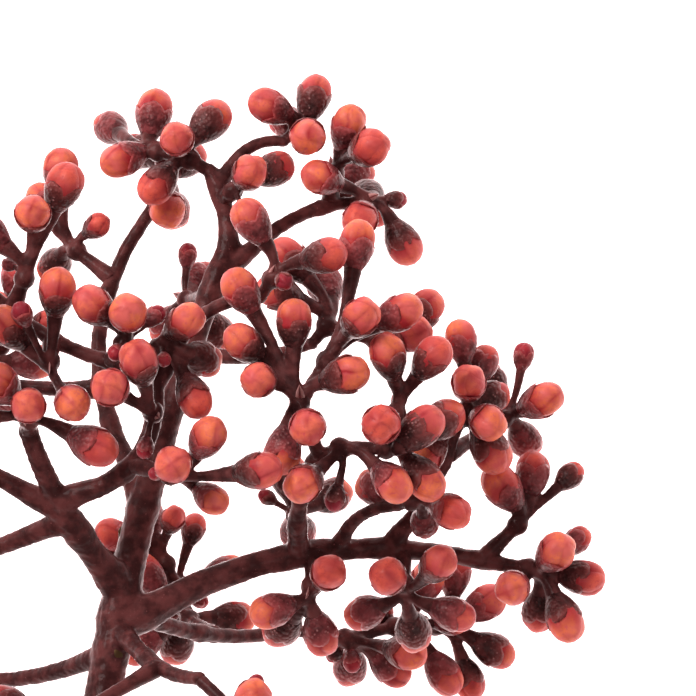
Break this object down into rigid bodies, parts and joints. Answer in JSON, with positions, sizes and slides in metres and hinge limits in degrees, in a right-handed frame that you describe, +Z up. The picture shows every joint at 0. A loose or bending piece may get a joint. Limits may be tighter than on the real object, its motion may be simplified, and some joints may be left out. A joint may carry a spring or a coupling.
{
  "type": "cut panicle of japanese skimmia flower buds",
  "caption": "Winter panicle of orange-red flower buds on short stalks, with dark maroon stem and tapering boughs, cut and lying on its side",
  "frame": {"origin": "the middle of the box's underside, on the floor that the panicle lies on", "axes": "+X across the panicle, its widest way; +Y from the cut end of the stem towards the tip of the panicle; +Z up, from the floor to the side that faces the camera, its shortest way"},
  "size_m": [0.1066, 0.084, 0.0626],
  "materials": {
    "bark": "matt",
    "buds": "satin"
  },
  "bodies": {
    "root": {"arch_bough": "bark", "arch_top_spray": "buds", "back_left_spray": "buds", "back_sprig_spray": "buds", "back_top_spray": "buds", "centre_left_spray": "buds", "centre_spray": "buds", "crest_bough": "bark", "crest_spray": "buds", "cross_bough": "bark", "cross_end_spray": "buds", "fork_front_spray": "buds", "front_low_spray": "buds", "front_mid_bough": "bark", "front_mid_spray": "buds", "inner_back_spray": "buds", "left_back_bough": "bark", "left_front_bough": "bark", "left_high_spray": "buds", "left_low_bough": "bark", "left_low_end_spray": "buds", "left_low_front_spray": "buds", "left_low_side_spray": "buds", "left_mid_spray": "buds", "left_outer_back_spray": "buds", "left_outer_bough": "bark", "left_outer_end_spray": "buds", "left_outer_front_spray": "buds", "left_rear_bough": "bark", "left_rear_end_spray": "buds", "left_rear_side_spray": "buds", "low_front_bough": "bark", "low_front_side_spray": "buds", "low_front_spray": "buds", "low_left_bough": "bark", "low_left_spray": "buds", "low_middle_spray": "buds", "low_rear_bough": "bark", "low_rear_side_spray": "buds", "low_rear_spray": "buds", "low_right_spray": "buds", "main_stem": "bark", "mid_right_bough": "bark", "mid_right_spray": "buds", "right_end_spray": "buds", "right_far_spray": "buds", "right_front_bough": "bark", "right_front_spray": "buds", "right_inner_bough": "bark", "right_inner_spray": "buds", "right_low_bough": "bark", "right_low_spray": "buds", "right_mid_bough": "bark", "right_mid_spray": "buds", "top_bough": "bark", "top_left_spray": "buds", "top_middle_spray": "buds", "upper_far_spray": "buds", "upper_right_bough": "bark", "upper_right_spray": "buds"}
  },
  "joints": []
}
